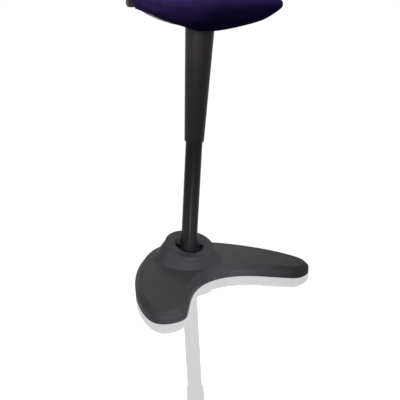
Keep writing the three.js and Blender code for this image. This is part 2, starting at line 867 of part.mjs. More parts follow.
// The pale cover is a tray with its own side walls, open above to the pan
function tailCover() {
  const outside = seatForm(0, tailDrop).intersect(tailWedge(0, tailTop));
  const lifted = moved(seatForm(0, tailDrop), 0, 0, tailThickness);
  const inside = lifted.intersect(tailWedge(-tailThickness, tailTop));
  return outside
    .subtract(inside)
    .subtract(panRoom())
    .subtract(rod(seatHoleRadius, -wide, wide, ballSegments))
    .subtract(leverRoom())
    .intersect(block([-wide, wide], [0, panRearReach], [-wide, shellBottom - gap]));
}

// Seat plate, lever and bolts

const leverAxisHeight = pinTop - seatStart + gap + leverThickness / 2;
const seatPlateHigh = seatPlateHeight + seatPlateThickness;

function seatPlate() {
  const outline = roundedRectangle(seatPlateWidth, seatPlateDepth, seatPlateCorner);
  let plate = slab(outline, seatPlateHeight, seatPlateHigh);
  const hubOuter = cylinderRadius + gap + hubWall;
  plate = plate.add(rod(hubOuter, gap, seatPlateHigh));
  const earTop = leverAxisHeight + earWidth / 2;
  for (const side of [-1, 1]) {
    const inner = leverWidth / 2 + gap;
    const reach = [side * inner, side * (inner + earThickness)].sort((a, b) => a - b);
    const ear = block(reach, [leverPivotBack - earWidth / 2, leverPivotBack + earWidth / 2],
      [seatPlateHeight + seatPlateThickness / 2, earTop]);
    plate = plate.add(ear);
  }
  const taper = revolve([
    [0, -overrun], [cylinderRadius + gap, -overrun], [cylinderRadius + gap, 0],
    [neckRadius + gap, cylinderNeck], [neckRadius + gap, cylinderNeck + overrun],
    [0, cylinderNeck + overrun],
  ]);
  plate = plate.subtract(taper).subtract(pivotHole(leverPinRadius + gap));
  for (const [x, y] of seatBoltPlaces()) {
    plate = plate.subtract(moved(rod(seatBoltRadius + gap, 0, panTop, smallSegments), x, y, 0));
  }
  return plate;
}

// A round bar along X through the lever's pivot
function pivotBar(radius, half) {
  const bar = rod(radius, -half, half, smallSegments).rotate([0, 90, 0]);
  return moved(bar, 0, leverPivotBack, leverAxisHeight);
}

function pivotHole(radius) {
  return pivotBar(radius, leverWidth * 2);
}

function leverPin() {
  const reach = leverWidth / 2 + gap + earThickness;
  const shank = pivotBar(leverPinRadius, reach + gap);
  const between = pivotBar(leverPinHead * 2, reach + gap);
  const heads = pivotBar(leverPinHead, reach + gap + leverPinRadius).subtract(between);
  return shank.add(heads);
}

function releaseLever() {
  const half = [leverWidth / 2, leverThickness / 2];
  const heights = [leverAxisHeight - half[1], leverAxisHeight + half[1]];
  return block([-half[0], half[0]], [-leverNose, panRearReach + leverGrip], heights)
    .add(pivotBar(leverBossRadius, half[0]))
    .subtract(pivotHole(leverPinRadius + gap));
}

function leverPaddle() {
  const outline = roundedRectangle(paddleWidth, paddleDepth, paddleCorner);
  const middle = leverAxisHeight;
  const grip = slab(outline, middle - paddleThickness / 2, middle + paddleThickness / 2);
  const slot = block([-leverWidth / 2 - gap, leverWidth / 2 + gap], [-wide, panRearReach + leverGrip + gap],
    [middle - leverThickness / 2 - gap, middle + leverThickness / 2 + gap]);
  const centre = panRearReach + gap * 2 + paddleDepth / 2;
  return moved(grip, 0, centre, 0).subtract(slot);
}

function seatBolts() {
  return seatBoltPlaces().map(([x, y], index) => {
    const low = seatPlateHeight - gap;
    const bolt = revolve([
      [0, low - seatBoltHeadHeight], [seatBoltHead, low - seatBoltHeadHeight], [seatBoltHead, low],
      [seatBoltRadius, low], [seatBoltRadius, low + seatBoltLength], [0, low + seatBoltLength],
    ], smallSegments);
    return mesh(`seat_bolt_${index + 1}`, moved(bolt, x, y, 0), darkSteel);
  });
}

// Assembly

const stool = new THREE.Group();
stool.add(
  mesh('base_shell', baseShell(), moulding),
  mesh('base_plate', basePlate(), darkSteel),
  ...footPads(),
  ...plateScrews(),
  mesh('bush_housing', bushHousing(), darkSteel),
  ...housingBolts(),
);

const column = new THREE.Group();
column.position.copy(hubPivot);
column.rotation.x = columnLean;
column.add(
  mesh('rubber_bush', rubberBush(), rubber),
  mesh('taper_socket', taperSocket(), darkSteel),
  mesh('outer_tube', outerTube(), tubePaint),
  mesh('guide_bush', guideBush(), acetal),
  mesh('thrust_bearing', thrustBearing(), brightSteel),
  mesh('piston_rod', pistonRod(), brightSteel),
  mesh('rod_clip', rodClip(), darkSteel),
  mesh('piston', piston(), acetal),
  mesh('piston_nut', pistonNut(), brightSteel),
  mesh('pressure_cylinder', pressureCylinder(), darkSteel),
  mesh('rod_gland', rodGland(), acetal),
  mesh('release_pin', releasePin(), brightSteel),
  mesh('tapered_cover', taperedCover(), coverPlastic),
  mesh('wiper_ring', wiperRing(), rubber),
);

const seat = new THREE.Group();
seat.position.z = seatStart;
seat.add(
  mesh('seat_plate', seatPlate(), darkSteel),
  mesh('release_lever', releaseLever(), darkSteel),
  mesh('lever_pin', leverPin(), brightSteel),
  mesh('lever_paddle', leverPaddle(), shellPlastic),
  mesh('seat_pan', seatPan(), panPlastic),
  mesh('tail_cover', tailCover(), palePlastic),
  mesh('rear_shell', rearShell(), shellPlastic),
  mesh('seat_cushion', seatCushion(), violetFabric),
  ...seatBolts(),
);
column.add(seat);
stool.add(column);

export default stool;
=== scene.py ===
# Perch stool: finish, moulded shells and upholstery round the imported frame
# Metres, front towards -Y, origin on the floor under the hub

import json
import math

import bmesh
import bpy
import numpy as np
from mathutils import Matrix, Vector
from mathutils.bvhtree import BVHTree

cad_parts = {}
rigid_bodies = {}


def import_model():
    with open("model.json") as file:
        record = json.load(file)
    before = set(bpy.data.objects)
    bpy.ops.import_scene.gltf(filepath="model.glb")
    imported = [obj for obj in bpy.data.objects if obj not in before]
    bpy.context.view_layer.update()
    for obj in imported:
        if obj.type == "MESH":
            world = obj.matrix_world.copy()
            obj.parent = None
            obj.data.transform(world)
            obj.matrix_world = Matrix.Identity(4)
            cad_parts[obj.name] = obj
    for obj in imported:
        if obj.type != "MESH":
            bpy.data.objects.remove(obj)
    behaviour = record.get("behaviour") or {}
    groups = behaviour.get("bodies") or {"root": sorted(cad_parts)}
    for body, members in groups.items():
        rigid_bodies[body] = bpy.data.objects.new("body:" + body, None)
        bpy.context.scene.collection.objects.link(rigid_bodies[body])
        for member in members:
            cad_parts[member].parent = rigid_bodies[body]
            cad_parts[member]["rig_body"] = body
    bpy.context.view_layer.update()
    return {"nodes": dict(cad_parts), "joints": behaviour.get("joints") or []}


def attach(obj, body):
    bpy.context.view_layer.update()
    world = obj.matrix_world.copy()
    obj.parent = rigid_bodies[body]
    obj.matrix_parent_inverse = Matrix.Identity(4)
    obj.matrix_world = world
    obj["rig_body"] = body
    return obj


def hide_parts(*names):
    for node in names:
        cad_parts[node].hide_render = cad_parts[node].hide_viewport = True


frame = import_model()
print("stool: frame loaded,", len(frame["nodes"]), "nodes")

mm = 0.001
weldReach = 0.004  # millimetres, between points that are one

# Places taken from the frame
swivel = next(joint for joint in frame["joints"] if joint["name"] == "seat_swivel")
pivot = Vector(swivel["pos_m"])
columnLean = math.atan2(-swivel["axis"][1], swivel["axis"][2])
columnPlace = Matrix.Translation(pivot) @ Matrix.Rotation(columnLean, 4, "X")
seatStart = 699  # from the pivot along the column to the lowest point of the seat
seatPlace = columnPlace @ Matrix.Translation((0, 0, seatStart * mm))


# Small tools

def linearColour(code):  # sRGB hex, as a paint card gives it, to the shader's linear values
    parts = [int(code[i:i + 2], 16) / 255 for i in (1, 3, 5)]
    return [p / 12.92 if p <= 0.04045 else ((p + 0.055) / 1.055) ** 2.4 for p in parts] + [1.0]


def addNode(tree, kind, settings=None, links=None):  # a node with its settings and what feeds it
    node = tree.nodes.new(kind)
    for key, value in (settings or {}).items():
        if isinstance(key, int) or key in node.inputs:
            node.inputs[key].default_value = value
        else:
            setattr(node, key, value)
    for key, source in (links or {}).items():
        tree.links.new(source, node.inputs[key])
    return node


def smoothStep(value, low, high):
    share = np.clip((np.asarray(value, float) - low) / (high - low), 0, 1)
    return share * share * (3 - 2 * share)


def blendOf(first, second, share):
    return first + (second - first) * share


def roundedPath(corners, radii, steps=5):  # corners in a plane, each turned by an arc of its radius
    path = []
    for i, (corner, radius) in enumerate(zip(corners, radii)):
        here = np.array(corner, float)
        if radius == 0 or i in (0, len(corners) - 1):
            path.append(here)
            continue
        before = np.array(corners[i - 1], float) - here
        after = np.array(corners[i + 1], float) - here
        before /= np.linalg.norm(before)
        after /= np.linalg.norm(after)
        opening = math.acos(np.clip(before @ after, -1, 1))
        reach = radius / math.tan(opening / 2)
        bisector = (before + after) / np.linalg.norm(before + after)
        middle = here + bisector * radius / math.sin(opening / 2)
        start = here + before * reach - middle
        end = here + after * reach - middle
        swing = math.pi - opening
        for k in range(steps + 1):
            share = k / steps
            weights = math.sin(swing * (1 - share)), math.sin(swing * share)
            path.append(middle + (start * weights[0] + end * weights[1]) / math.sin(swing))
    return np.array(path)


class Skin:  # grids of points that are sewn together where they meet
    def __init__(self):
        self.points = []
        self.faces = []

    def grid(self, rows, closed=False):
        rows = np.asarray(rows, float)
        start = len(self.points)
        across = rows.shape[1]
        self.points += [tuple(point) for point in rows.reshape(-1, 3)]
        for i in range(rows.shape[0] - 1):
            for j in range(across if closed else across - 1):
                a = start + i * across + j
                b = start + i * across + (j + 1) % across
                self.faces.append((a, b, b + across, a + across))
        return self

    def make(self, name, place=Matrix.Identity(4), sharp=30):
        data = bpy.data.meshes.new(name)
        data.from_pydata([Vector(point) * mm for point in self.points], [], self.faces)
        form = bmesh.new()
        form.from_mesh(data)
        bmesh.ops.remove_doubles(form, verts=form.verts, dist=weldReach * mm)
        bmesh.ops.dissolve_degenerate(form, edges=form.edges, dist=weldReach * mm)
        bmesh.ops.recalc_face_normals(form, faces=form.faces)
        form.to_mesh(data)
        form.free()
        data.transform(place)
        piece = bpy.data.objects.new(name, data)
        bpy.context.scene.collection.objects.link(piece)
        shadeSmooth(piece, sharp)
        return piece


def shadeSmooth(piece, sharp=30):
    piece.data.shade_smooth()
    piece.data.set_sharp_from_angle(angle=math.radians(sharp))


def settle(piece):  # the modifiers become the mesh
    graph = bpy.context.evaluated_depsgraph_get()
    data = bpy.data.meshes.new_from_object(piece.evaluated_get(graph))
    piece.modifiers.clear()
    piece.data = data


def softenEdges(piece, width, steps, sharp=40):
    bevel = piece.modifiers.new("edges", "BEVEL")
    bevel.width = width * mm
    bevel.segments = steps
    bevel.limit_method = "ANGLE"
    bevel.angle_limit = math.radians(sharp)
    settle(piece)
    shadeSmooth(piece, sharp)


def carve(piece, tool, how="DIFFERENCE"):
    cut = piece.modifiers.new("carve", "BOOLEAN")
    cut.operation = how
    cut.solver = "EXACT"
    cut.object = tool
    settle(piece)
    bpy.data.objects.remove(tool)
    return piece


def turned(name, corners, radii, segments, place):  # a closed profile of radius and height, on a lathe
    path = roundedPath([*corners, corners[0]], [*radii, 0])
    angles = np.arange(segments) * (2 * math.pi / segments)
    rows = [[(r * math.cos(a), r * math.sin(a), h) for a in angles] for r, h in path]
    return Skin().grid(rows, closed=True).make(name, place)


def block(x, y, z, place):
    rows = [[(cx, cy, h) for cx, cy in ((x[0], y[0]), (x[1], y[0]), (x[1], y[1]), (x[0], y[1]))] for h in z]
    middle = ((x[0] + x[1]) / 2, (y[0] + y[1]) / 2)
    rows = [[(*middle, z[0])] * 4, *rows, [(*middle, z[1])] * 4]
    return Skin().grid(rows, closed=True).make("block", place)


def dress(piece, material, nodeName):  # a finish, and the body and place of a CAD node
    piece.data.materials.clear()
    piece.data.materials.append(material)
    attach(piece, frame["nodes"][nodeName]["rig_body"])
    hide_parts(nodeName)
    return piece


# Finishes

def newMaterial(name, settings):
    material = bpy.data.materials.new(name)
    material.use_nodes = True
    tree = material.node_tree
    tree.nodes.clear()
    place = addNode(tree, "ShaderNodeTexCoord").outputs["Object"]
    shader = addNode(tree, "ShaderNodeBsdfPrincipled", settings)
    addNode(tree, "ShaderNodeOutputMaterial", links={"Surface": shader.outputs["BSDF"]})
    return material, tree, place, shader


def colourRamp(tree, factor, stops):  # stops of place and hex colour
    ramp = addNode(tree, "ShaderNodeValToRGB", links={"Fac": factor})
    for stop, (where, code) in zip(ramp.color_ramp.elements, stops):
        stop.position = where
        stop.color = linearColour(code)
    return ramp.outputs["Color"]


def mouldedPlastic(name, look):
    # Injection moulded, spark-eroded mould: an even satin with a fine grain, a little paler on worn edges
    settings = {"IOR": look["ior"], "Roughness": look["roughness"], "Specular IOR Level": look["gloss"]}
    material, tree, place, shader = newMaterial(name, settings)
    patches = addNode(tree, "ShaderNodeTexNoise", {"Scale": 1 / (look["patchSize"] * mm), "Detail": 3.0},
                      {"Vector": place})
    colour = colourRamp(tree, patches.outputs["Fac"], [(0.35, look["dark"]), (0.65, look["light"])])
    edge = addNode(tree, "ShaderNodeNewGeometry").outputs["Pointiness"]
    wear = addNode(tree, "ShaderNodeMapRange",
                   {"From Min": 0.5 + look["wearFrom"], "From Max": 0.5 + look["wearTo"], "To Max": 0.5},
                   {"Value": edge})
    worn = addNode(tree, "ShaderNodeMix", {"data_type": "RGBA", 7: linearColour(look["worn"])},
                   {0: wear.outputs["Result"], 6: colour})
    tree.links.new(worn.outputs[2], shader.inputs["Base Color"])
    grain = addNode(tree, "ShaderNodeTexNoise", {"Scale": 1 / (look["grainSize"] * mm), "Detail": 2.0},
                    {"Vector": place})
    smoothest, roughest = look["roughness"] - look["roughSpread"], look["roughness"] + look["roughSpread"]
    rough = addNode(tree, "ShaderNodeMapRange", {"To Min": smoothest, "To Max": roughest},
                    {"Value": grain.outputs["Fac"]})
    tree.links.new(rough.outputs["Result"], shader.inputs["Roughness"])
    bump = addNode(tree, "ShaderNodeBump", {"Strength": look["grainStrength"], "Distance": look["grainDepth"] * mm},
                   {"Height": grain.outputs["Fac"]})
    tree.links.new(bump.outputs["Normal"], shader.inputs["Normal"])
    return material


def steel(name, look):
    # Bare or treated steel: metallic, with faint turning or rolling marks round its grain
    settings = {"Metallic": 1.0, "Roughness": look["roughness"]}
    material, tree, place, shader = newMaterial(name, settings)
    marks = addNode(tree, "ShaderNodeTexNoise", {"Scale": 1 / (look["markSize"] * mm), "Detail": 4.0},
                    {"Vector": place})
    colour = colourRamp(tree, marks.outputs["Fac"], [(0.3, look["dark"]), (0.7, look["light"])])
    tree.links.new(colour, shader.inputs["Base Color"])
    bump = addNode(tree, "ShaderNodeBump", {"Strength": look["markStrength"], "Distance": look["markDepth"] * mm},
                   {"Height": marks.outputs["Fac"]})
    tree.links.new(bump.outputs["Normal"], shader.inputs["Normal"])
    return material


def powderCoat(name, look):
    # Powder coat over steel tube: a thin skin of resin with orange peel, smoother than the plastics round it
    settings = {"IOR": 1.5, "Roughness": look["roughness"], "Specular IOR Level": look["gloss"]}
    material, tree, place, shader = newMaterial(name, settings)
    peel = addNode(tree, "ShaderNodeTexNoise", {"Scale": 1 / (look["peelSize"] * mm), "Detail": 1.0},
                   {"Vector": place})
    colour = colourRamp(tree, peel.outputs["Fac"], [(0.3, look["dark"]), (0.7, look["light"])])
    tree.links.new(colour, shader.inputs["Base Color"])
    bump = addNode(tree, "ShaderNodeBump", {"Strength": look["peelStrength"], "Distance": look["peelDepth"] * mm},
                   {"Height": peel.outputs["Fac"]})
    tree.links.new(bump.outputs["Normal"], shader.inputs["Normal"])
    return material


def wovenCloth(name, look):
    # Wool-blend upholstery cloth, piece-dyed: matt, with a soft sheen at the turn of the form and a fine weave
    settings = {"IOR": 1.45, "Roughness": look["roughness"], "Specular IOR Level": look["gloss"],
                "Sheen Weight": look["sheen"], "Sheen Roughness": look["sheenRoughness"],
                "Sheen Tint": linearColour(look["sheenTint"])}
    material, tree, place, shader = newMaterial(name, settings)
    shades = addNode(tree, "ShaderNodeTexNoise", {"Scale": 1 / (look["shadeSize"] * mm), "Detail": 4.0},
                     {"Vector": place})
    colour = colourRamp(tree, shades.outputs["Fac"], [(0.3, look["dark"]), (0.7, look["light"])])
    # Threads drawn coarser than real ones, so that they show: sines along two axes cross on the faces of the third,
    # and the hollows between the threads get painted shade
    turn = math.pi * 2 / (look["threadSpacing"] * mm)
    split = addNode(tree, "ShaderNodeSeparateXYZ", links={"Vector": place})
    facing = addNode(tree, "ShaderNodeSeparateXYZ",
                     links={"Vector": addNode(tree, "ShaderNodeTexCoord").outputs["Normal"]})
    waves = {}
    for axis in "XYZ":
        scaled = addNode(tree, "ShaderNodeMath", {"operation": "MULTIPLY", 1: turn}, {0: split.outputs[axis]})
        waves[axis] = addNode(tree, "ShaderNodeMath", {"operation": "SINE"}, {0: scaled.outputs[0]})
    weave = None
    for first, second, third in ("XYZ", "YZX", "ZXY"):
        crossed = addNode(tree, "ShaderNodeMath", {"operation": "MULTIPLY"},
                          {0: waves[first].outputs[0], 1: waves[second].outputs[0]})
        share = addNode(tree, "ShaderNodeMath", {"operation": "MULTIPLY"},
                        {0: facing.outputs[third], 1: facing.outputs[third]})
        part = addNode(tree, "ShaderNodeMath", {"operation": "MULTIPLY"},
                       {0: crossed.outputs[0], 1: share.outputs[0]})
        if weave is None:
            weave = part
        else:
            weave = addNode(tree, "ShaderNodeMath", {"operation": "ADD"}, {0: weave.outputs[0], 1: part.outputs[0]})
    # Painted shade: the cloth's colour is multiplied darker in the weave's hollows, where the threads dip
    depth = addNode(tree, "ShaderNodeMapRange", {"From Min": -1.0, "To Min": look["hollowShade"], "To Max": 1.0},
                    {"Value": weave.outputs[0]})
    shaded = addNode(tree, "ShaderNodeMix", {"data_type": "RGBA", "blend_type": "MULTIPLY", 0: 1.0},
                     {6: colour, 7: depth.outputs["Result"]})
    tree.links.new(shaded.outputs[2], shader.inputs["Base Color"])
    fibre = addNode(tree, "ShaderNodeTexNoise", {"Scale": 1 / (look["fibreSize"] * mm), "Detail": 3.0},
                    {"Vector": place})
    relief = addNode(tree, "ShaderNodeMath", {"operation": "ADD"}, {0: weave.outputs[0], 1: fibre.outputs["Fac"]})
    bump = addNode(tree, "ShaderNodeBump", {"Strength": look["threadStrength"], "Distance": look["threadDepth"] * mm},
                   {"Height": relief.outputs[0]})
    tree.links.new(bump.outputs["Normal"], shader.inputs["Normal"])
    return material


plasticLook = {
    "moulding": {"dark": "#373736", "light": "#3e3e3d", "worn": "#444444", "ior": 1.49, "gloss": 0.06,
                 "roughness": 0.5, "roughSpread": 0.05, "patchSize": 60, "grainSize": 1.6, "grainStrength": 0.2,
                 "grainDepth": 0.1, "wearFrom": 0.03, "wearTo": 0.12},
    "cover": {"dark": "#252423", "light": "#2a2928", "worn": "#333231", "ior": 1.53, "gloss": 0.12,
              "roughness": 0.5, "roughSpread": 0.04, "patchSize": 50, "grainSize": 1.2, "grainStrength": 0.15,
              "grainDepth": 0.06, "wearFrom": 0.04, "wearTo": 0.14},
    "shell": {"dark": "#302d2a", "light": "#36332f", "worn": "#454340", "ior": 1.53, "gloss": 0.14,
              "roughness": 0.55, "roughSpread": 0.05, "patchSize": 40, "grainSize": 1.4, "grainStrength": 0.2,
              "grainDepth": 0.08, "wearFrom": 0.04, "wearTo": 0.14},
    "pale": {"dark": "#99999f", "light": "#a1a1a7", "worn": "#ababb0", "ior": 1.53, "gloss": 0.3,
             "roughness": 0.5, "roughSpread": 0.05, "patchSize": 40, "grainSize": 1.4, "grainStrength": 0.2,
             "grainDepth": 0.08, "wearFrom": 0.04, "wearTo": 0.14},
    "pan": {"dark": "#2a2a2c", "light": "#303032", "worn": "#3c3c3e", "ior": 1.49, "gloss": 0.35,
            "roughness": 0.6, "roughSpread": 0.05, "patchSize": 40, "grainSize": 1.6, "grainStrength": 0.25,
            "grainDepth": 0.1, "wearFrom": 0.04, "wearTo": 0.14},
    "rubber": {"dark": "#171718", "light": "#1f1f20", "worn": "#2b2b2c", "ior": 1.52, "gloss": 0.3,
               "roughness": 0.8, "roughSpread": 0.06, "patchSize": 30, "grainSize": 1.2, "grainStrength": 0.3,
               "grainDepth": 0.1, "wearFrom": 0.04, "wearTo": 0.14},
    "acetal": {"dark": "#d3d1c9", "light": "#dddbd3", "worn": "#e6e4dc", "ior": 1.48, "gloss": 0.5,
               "roughness": 0.45, "roughSpread": 0.04, "patchSize": 40, "grainSize": 1.0, "grainStrength": 0.1,
               "grainDepth": 0.05, "wearFrom": 0.04, "wearTo": 0.14},
}
mouldedPolypropylene = mouldedPlastic("moulded_polypropylene_foot", plasticLook["moulding"])
satinAbs = mouldedPlastic("satin_moulded_abs_cover", plasticLook["cover"])
glassFilledNylon = mouldedPlastic("glass_filled_nylon_shell", plasticLook["shell"])
paleAbs = mouldedPlastic("pale_moulded_abs_tail", plasticLook["pale"])
panPolypropylene = mouldedPlastic("moulded_polypropylene_pan", plasticLook["pan"])
naturalRubber = mouldedPlastic("moulded_natural_rubber", plasticLook["rubber"])
whiteAcetal = mouldedPlastic("machined_white_acetal", plasticLook["acetal"])
phosphatedSteel = steel("zinc_phosphated_steel", {
    "dark": "#4a4b4d", "light": "#5c5d5f", "roughness": 0.5, "markSize": 4, "markStrength": 0.15, "markDepth": 0.02})
chromedSteel = steel("hard_chromed_steel", {
    "dark": "#b4b7ba", "light": "#c3c6c9", "roughness": 0.16, "markSize": 6, "markStrength": 0.15, "markDepth": 0.02})
tubeCoat = powderCoat("powder_coated_steel_tube", {
    "dark": "#1c1b1a", "light": "#222120", "roughness": 0.33, "gloss": 0.1, "peelSize": 2.2, "peelStrength": 0.3,
    "peelDepth": 0.04})
violetCloth = wovenCloth("violet_woven_wool_cloth", {
    "dark": "#2b214e", "light": "#332858", "roughness": 0.9, "gloss": 0.0, "sheen": 0.03, "sheenRoughness": 0.5,
    "sheenTint": "#6f5fa0", "shadeSize": 45, "threadSpacing": 2.0, "hollowShade": 0.82, "threadStrength": 0.5,
    "threadDepth": 0.15, "fibreSize": 0.9})
print("stool: finishes made")


# The arched foot moulding, with the leaning collar

footShape = {  # millimetres
    "halfSpan": 294, "backReach": 140, "archReach": 128, "widestReach": 223.5, "tipReach": 275,
    "tipWidth": 94.3, "tipPoint": 64.5, "heelReach": 261.5,
    "floorGap": 1.5, "sideHeight": 21, "tipHeight": 34.5, "backHeight": 43, "bevel": 15, "wall": 4.5,
    "lowRound": 1.2, "sideRound": 7, "crownRound": 4,  # radii of the moulding's edges
    "armSteps": 52, "tipSteps": 22, "crossSteps": 16, "hubStations": 20, "hubRings": 9,
}
collarShape = {
    "height": 85.1, "tilt": math.radians(16.1), "radius": 78, "hole": 46.5, "throat": 43.5, "footRadius": 109.5,
    "forward": 3.3, "neck": 7, "floor": 6, "outerRound": 2.5, "innerRound": 4, "roundSteps": 6, "rows": 16,
    "footRound": 4, "footRoundShare": 0.7, "evenness": 0.5,  # how evenly the columns of faces stand round it
}
outlineShares = {  # handles of the outline's curves, as shares of the half span
    "back": 0.499, "widest": 0.342, "arch": 0.328, "heel": (0.179, 0.169), "tip": 0.119, "innerTip": (0.028, 0.028),
}


def curvePoints(handles, steps):
    t = np.linspace(0, 1, steps + 1)[:, None]
    a, b, c, d = [np.array(handle, float) for handle in handles]
    return a * (1 - t) ** 3 + 3 * b * t * (1 - t) ** 2 + 3 * c * t ** 2 * (1 - t) + d * t ** 3


def footOutline():  # outer and inner side from the left tip to the right tip
    s, share = footShape, outlineShares
    span = s["halfSpan"]
    widest = (span, -s["widestReach"])
    tip = (span - s["tipPoint"], -s["tipReach"])
    heel = (span - s["tipWidth"], -s["heelReach"])
    back = [(0, s["backReach"]), (span * share["back"], s["backReach"]),
            (span, widest[1] + span * share["widest"]), widest]
    outerTip = [widest, (span, widest[1] - span * share["tip"]), (tip[0] + span * share["tip"], tip[1]), tip]
    arch = [(0, -s["archReach"]), (span * share["arch"], -s["archReach"]),
            (heel[0] - span * share["heel"][0], heel[1] + span * share["heel"][1]), heel]
    innerTip = [heel, (heel[0] + span * share["innerTip"][1], heel[1] - span * share["innerTip"][1]),
                (tip[0] - span * share["innerTip"][0], tip[1]), tip]
    sides = []
    for first, second in ((back, outerTip), (arch, innerTip)):
        right = np.vstack([curvePoints(first, s["armSteps"]), curvePoints(second, s["tipSteps"])[1:]])
        left = right[:0:-1] * (-1, 1)
        sides.append(np.vstack([left, right]))
    return sides


def footHeight(y):  # the flat top rises evenly from the tips to the back
    s = footShape
    return blendOf(s["tipHeight"], s["backHeight"], (y + s["tipReach"]) / (s["backReach"] + s["tipReach"]))


def inwardNormals(outer, inner):  # of both sides, taken round the closed outline
    loop = np.vstack([outer, inner[-2:0:-1]])
    along = np.roll(loop, -1, 0) - np.roll(loop, 1, 0)
    along /= np.linalg.norm(along, axis=1)[:, None]
    normals = np.stack([along[:, 1], -along[:, 0]], 1)
    last = len(outer) - 1
    return normals[:last + 1], np.vstack([normals[:1], normals[:last:-1], normals[last:last + 1]])


def sideRows(side, normals, inset, drop, rounded):  # for each station, points up the side to the crown
    s = footShape
    rows = []
    for point, inward in zip(side, normals):
        edge = point + inward * (inset + s["bevel"])
        top = footHeight(edge[1]) - drop
        corners = [(inset, s["floorGap"]), (inset, s["sideHeight"] - drop), (inset + s["bevel"], top),
                   (inset + s["bevel"] * 2, top)]
        if rounded:
            low = s["lowRound"]
            corners = [(inset + low * 2, s["floorGap"]), *corners]
            path = roundedPath(corners, [0, low, s["sideRound"], s["crownRound"], 0])[:-1]
        else:
            path = np.array(corners[:-1], float)
        rows.append([(*(point + inward * d), z) for d, z in path])
    return np.array(rows)


def crownRow(start, end, drop, steps):
    shares = np.linspace(0, 1, steps + 1)[:, None]
    flat = start[None, :2] * (1 - shares) + end[None, :2] * shares
    row = np.column_stack([flat, footHeight(flat[:, 1]) - drop])
    row[0], row[-1] = start, end
    return row


collarAxis = np.array([0, -math.sin(collarShape["tilt"]), math.cos(collarShape["tilt"])])
collarMiddle = np.array([
    0, -(collarShape["height"] - pivot.z / mm) * math.tan(columnLean) - collarShape["forward"],
    collarShape["height"]])


def tiltedRing(middle, radius, tilt, angles):
    flat = np.column_stack([np.cos(angles), np.sin(angles) * math.cos(tilt), np.sin(angles) * math.sin(tilt)])
    return middle + flat * radius


def collarColumns(angles, wall, drop):  # rows of the skirt, from the crown up to the neck of the ring
    c = collarShape
    foot = tiltedRing(np.zeros(3), c["footRadius"] - wall, 0, angles)
    foot[:, 2] = footHeight(foot[:, 1]) - drop
    neck = tiltedRing(collarMiddle - collarAxis * c["neck"], c["radius"] - wall, c["tilt"], angles)
    return np.array([blendOf(foot, neck, share) for share in np.linspace(0, 1, c["rows"] + 1)])


def footSkin(skin, wall, rounded):  # one side of the moulding: outside, or inside with the wall taken off
    s, c = footShape, collarShape
    outer, inner = footOutline()
    outerNormals, innerNormals = inwardNormals(outer, inner)
    outerRows = sideRows(outer, outerNormals, wall, wall, rounded)
    innerRows = sideRows(inner, innerNormals, wall, wall, rounded)
    skin.grid(outerRows).grid(innerRows)
    middle = len(outer) // 2
    first, last = middle - s["hubStations"], middle + s["hubStations"]
    crown = [crownRow(a[-1], b[-1], wall, s["crossSteps"]) for a, b in zip(outerRows, innerRows)]
    skin.grid(crown[:first + 1]).grid(crown[last:])
    # Rings from the hub's share of the crown to the foot of the collar
    frontToBack = crown[last][::-1]
    edge = np.vstack([
        frontToBack[:-1], outerRows[last:first:-1, -1], crown[first][:-1], innerRows[first:last, -1]])
    bearing = np.unwrap(np.arctan2(edge[:, 1], edge[:, 0]))
    even = bearing.mean() + (np.arange(len(edge)) - (len(edge) - 1) / 2) * (2 * math.pi / len(edge))
    angles = blendOf(bearing, even, c["evenness"])
    thickness = c["floor"] if wall else 0
    skirt = collarColumns(angles, thickness, wall)
    rings = []
    for share in np.linspace(0, 1, s["hubRings"] + 1)[:-1]:
        flat = blendOf(edge[:, :2], skirt[0][:, :2], share)
        rings.append(np.column_stack([flat, footHeight(flat[:, 1]) - wall]))
    rings[0] = edge
    if rounded:  # the inside corner where the skirt meets the crown
        outward = edge - skirt[0]
        room = np.linalg.norm(outward[:, :2], axis=1)[:, None]
        reach = np.minimum(c["footRound"], room * c["footRoundShare"])
        before = skirt[0] + outward / room * reach
        before[:, 2] = footHeight(before[:, 1])
        upward = skirt[2] - skirt[0]
        upward /= np.linalg.norm(upward, axis=1)[:, None]
        after = skirt[0] + upward * reach
        rings.pop()
        for share in np.linspace(0, 1, c["roundSteps"] + 1):
            rings.append(before * (1 - share) ** 2 + skirt[0] * 2 * share * (1 - share) + after * share ** 2)
        skirt = skirt[2:]
    rings += list(skirt)
    if rounded:
        profile = roundedPath(
            [(c["radius"], -c["neck"]), (c["radius"], 0), (c["hole"], 0), (c["throat"], -c["floor"])],
            [0, c["outerRound"], c["innerRound"], 0], c["roundSteps"])[1:]
    else:
        profile = [(c["radius"] - thickness, -thickness), (c["throat"], -thickness)]
    for radius, height in profile:
        rings.append(tiltedRing(collarMiddle + collarAxis * height, radius, c["tilt"], angles))
    skin.grid(rings, closed=True)
    return outerRows[:, 0], innerRows[:, 0]


def footMoulding():
    skin = Skin()
    outside = footSkin(skin, 0, True)
    inside = footSkin(skin, footShape["wall"], False)
    for outerEdge, innerEdge in zip(outside, inside):  # the rim that stands just off the floor
        skin.grid([outerEdge, innerEdge])
    return skin.make("foot_moulding", sharp=40)


dress(footMoulding(), mouldedPolypropylene, "base_shell")
print("stool: foot moulded")


# The column: outer tube and the tapered cover over it

tubeShape = {"radius": 25, "wall": 1.5, "foot": -20, "top": 430, "footRadius": 24.2, "floor": 4, "stemHole": 3.8,
             "footRound": 3, "taperHeight": 36, "taperRound": 20, "topRound": 0.7, "segments": 96}
coverShape = {"lap": 49, "rimRadius": 29.1, "topRadius": 41.3, "rise": 16, "wall": 3.2, "lip": 3, "lipBore": 25.7,
              "bore": 27.3, "wiperHeight": 7, "floor": 3, "stem": 14.3, "lipRound": 2.2, "topRound": 0.6,
              "clearance": 0.3, "segments": 96}


